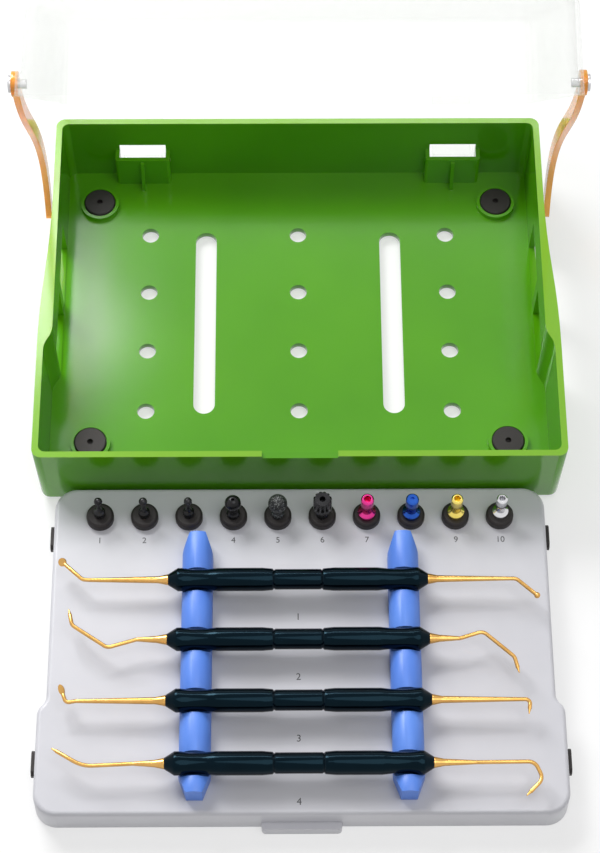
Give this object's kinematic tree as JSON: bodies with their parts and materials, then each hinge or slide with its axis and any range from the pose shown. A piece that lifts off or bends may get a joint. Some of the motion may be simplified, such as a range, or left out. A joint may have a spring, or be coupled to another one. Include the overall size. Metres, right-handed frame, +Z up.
{
  "type": "implant surgical kit",
  "caption": "Surgical kit box with hinged clear lid and side latches, and a lift-out tray of driver and bur tools and double-ended hand instruments.",
  "frame": {"origin": "on the table plane, under the middle of the whole kit laid out with its lid open", "axes": "+X right, +Y to the back of the box, +Z up"},
  "size_m": [0.1978, 0.3126, 0.1592],
  "materials": {
    "green_plastic": "glossy moulded lime green plastic",
    "clear_lid": "clear polished plastic",
    "amber_plastic": "translucent amber plastic",
    "steel_pin": "turned stainless steel",
    "black_rubber": "matt black silicone rubber",
    "grey_tray": "satin light grey plastic",
    "blue_silicone": "satin blue silicone",
    "dark_handle": "glossy dark blue coating on turned metal",
    "gold_coat": "gold coloured coating on steel",
    "magenta_anodised": "magenta anodised metal",
    "blue_anodised": "blue anodised metal",
    "gold_anodised": "yellow gold anodised metal",
    "silver_steel": "polished steel",
    "black_steel": "black coated steel"
  },
  "bodies": {
    "box": {"base_box": "green_plastic", "hinge_pin_left": "steel_pin", "hinge_pin_right": "steel_pin", "rubber_foot_front_left": "black_rubber", "rubber_foot_front_right": "black_rubber", "rubber_foot_rear_left": "black_rubber", "rubber_foot_rear_right": "black_rubber"},
    "lid": {"lid": "clear_lid", "latch_pin_left": "steel_pin", "latch_pin_right": "steel_pin"},
    "latch_left": {"side_latch_left": "amber_plastic"},
    "latch_right": {"side_latch_right": "amber_plastic"},
    "tray": {"tray": "grey_tray", "bumper_front_left": "black_rubber", "bumper_front_right": "black_rubber", "bumper_rear_left": "black_rubber", "bumper_rear_right": "black_rubber", "grommet_1": "black_rubber", "grommet_10": "black_rubber", "grommet_2": "black_rubber", "grommet_3": "black_rubber", "grommet_4": "black_rubber", "grommet_5": "black_rubber", "grommet_6": "black_rubber", "grommet_7": "black_rubber", "grommet_8": "black_rubber", "grommet_9": "black_rubber", "holder_left": "blue_silicone", "holder_right": "blue_silicone"},
    "round_bur_small": {"round_bur_small": "black_steel"},
    "round_bur_medium": {"round_bur_medium": "black_steel"},
    "fluted_bur": {"fluted_bur": "black_steel"},
    "dimple_bur": {"dimple_bur": "black_steel"},
    "diamond_bur": {"diamond_bur": "black_steel"},
    "toothed_cutter": {"toothed_cutter": "black_steel"},
    "driver_magenta": {"driver_magenta": "magenta_anodised"},
    "driver_blue": {"driver_blue": "blue_anodised"},
    "driver_gold": {"driver_gold": "gold_anodised"},
    "driver_silver": {"driver_silver": "silver_steel"},
    "plane_elevator": {"plane_elevator_handle": "dark_handle", "plane_elevator_left_end": "gold_coat", "plane_elevator_right_end": "gold_coat"},
    "broad_elevator": {"broad_elevator_handle": "dark_handle", "broad_elevator_left_end": "gold_coat", "broad_elevator_right_end": "gold_coat"},
    "spoon_elevator": {"spoon_elevator_handle": "dark_handle", "spoon_elevator_left_end": "gold_coat", "spoon_elevator_right_end": "gold_coat"},
    "curette_hook": {"curette_hook_handle": "dark_handle", "curette_hook_left_end": "gold_coat", "curette_hook_right_end": "gold_coat"}
  },
  "joints": [
    {"name": "lid_hinge", "type": "hinge", "parent": "box", "child": "lid", "pos_m": [0, 0.11201, 0.015], "axis": [-1, 0, 0], "range_deg": [-55, 36]},
    {"name": "latch_left_pivot", "type": "hinge", "parent": "lid", "child": "latch_left", "pos_m": [-0.095, 0.0673, 0.12384], "axis": [1, 0, 0], "range_deg": [-30, 60]},
    {"name": "latch_right_pivot", "type": "hinge", "parent": "lid", "child": "latch_right", "pos_m": [0.095, 0.0673, 0.12384], "axis": [1, 0, 0], "range_deg": [-30, 60]},
    {"name": "tray_lift", "type": "slide", "parent": "box", "child": "tray", "axis": [0, 0, 1], "range_m": [0, 0.05]},
    {"name": "round_bur_small_lift", "type": "slide", "parent": "tray", "child": "round_bur_small", "axis": [0, 0, 1], "range_m": [0, 0.03]},
    {"name": "round_bur_medium_lift", "type": "slide", "parent": "tray", "child": "round_bur_medium", "axis": [0, 0, 1], "range_m": [0, 0.03]},
    {"name": "fluted_bur_lift", "type": "slide", "parent": "tray", "child": "fluted_bur", "axis": [0, 0, 1], "range_m": [0, 0.03]},
    {"name": "dimple_bur_lift", "type": "slide", "parent": "tray", "child": "dimple_bur", "axis": [0, 0, 1], "range_m": [0, 0.03]},
    {"name": "diamond_bur_lift", "type": "slide", "parent": "tray", "child": "diamond_bur", "axis": [0, 0, 1], "range_m": [0, 0.03]},
    {"name": "toothed_cutter_lift", "type": "slide", "parent": "tray", "child": "toothed_cutter", "axis": [0, 0, 1], "range_m": [0, 0.03]},
    {"name": "driver_magenta_lift", "type": "slide", "parent": "tray", "child": "driver_magenta", "axis": [0, 0, 1], "range_m": [0, 0.03]},
    {"name": "driver_blue_lift", "type": "slide", "parent": "tray", "child": "driver_blue", "axis": [0, 0, 1], "range_m": [0, 0.03]},
    {"name": "driver_gold_lift", "type": "slide", "parent": "tray", "child": "driver_gold", "axis": [0, 0, 1], "range_m": [0, 0.03]},
    {"name": "driver_silver_lift", "type": "slide", "parent": "tray", "child": "driver_silver", "axis": [0, 0, 1], "range_m": [0, 0.03]},
    {"name": "plane_elevator_lift", "type": "slide", "parent": "tray", "child": "plane_elevator", "axis": [0, 0, 1], "range_m": [0, 0.04]},
    {"name": "broad_elevator_lift", "type": "slide", "parent": "tray", "child": "broad_elevator", "axis": [0, 0, 1], "range_m": [0, 0.04]},
    {"name": "spoon_elevator_lift", "type": "slide", "parent": "tray", "child": "spoon_elevator", "axis": [0, 0, 1], "range_m": [0, 0.04]},
    {"name": "curette_hook_lift", "type": "slide", "parent": "tray", "child": "curette_hook", "axis": [0, 0, 1], "range_m": [0, 0.04]}
  ]
}
